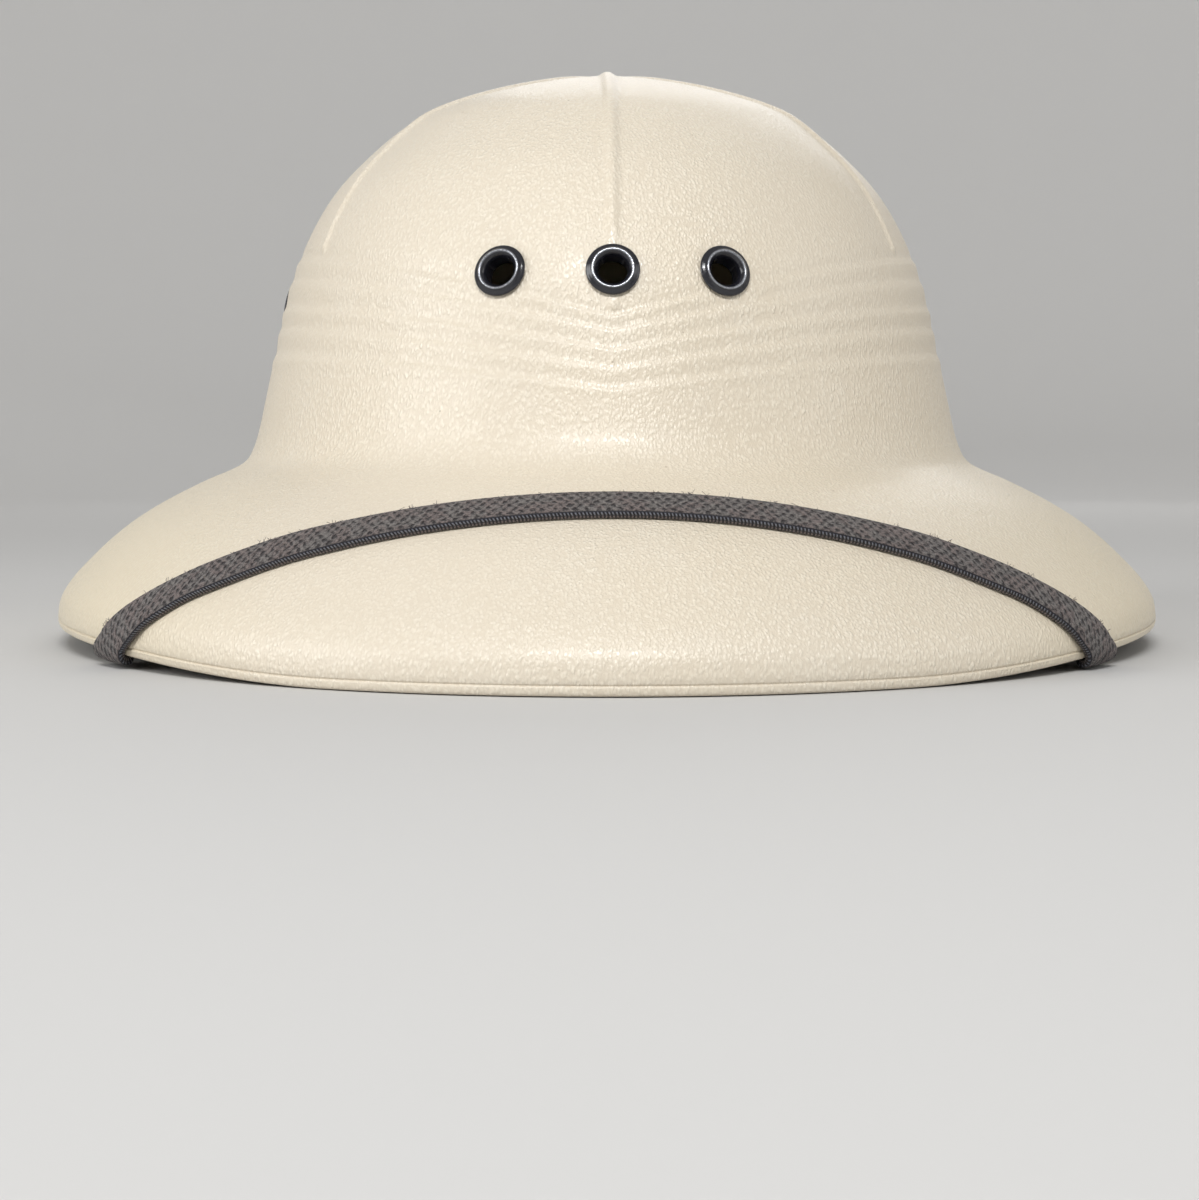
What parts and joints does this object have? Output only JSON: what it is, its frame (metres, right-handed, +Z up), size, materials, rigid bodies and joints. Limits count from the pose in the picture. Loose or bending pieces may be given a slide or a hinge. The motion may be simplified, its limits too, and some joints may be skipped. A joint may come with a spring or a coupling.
{
  "type": "pith helmet",
  "caption": "Tropical sun helmet: domed crown with raised ribs and a moulded folded band, drooping brim, metal vent eyelets and a woven strap drawn over the front of the brim.",
  "frame": {"origin": "middle of the brim's outline, in the plane that the rim rests on", "axes": "+Z up through the crown, -Y to the front of the helmet, +X to the wearer's left"},
  "size_m": [0.2892, 0.352, 0.1488],
  "materials": {
    "shell": "ivory moulded plastic with a fine leather grain, satin",
    "eyelet": "black enamelled metal, glossy",
    "strap": "black-brown woven elastic with a braided top and a ribbed edge",
    "post": "plain black plastic"
  },
  "bodies": {
    "root": {"shell": "shell", "eyelet_front_middle": "eyelet", "eyelet_front_left": "eyelet", "eyelet_front_right": "eyelet", "eyelet_side_left": "eyelet", "eyelet_side_right": "eyelet", "strap": "strap", "strap_post_left": "post", "strap_post_right": "post"}
  },
  "joints": []
}
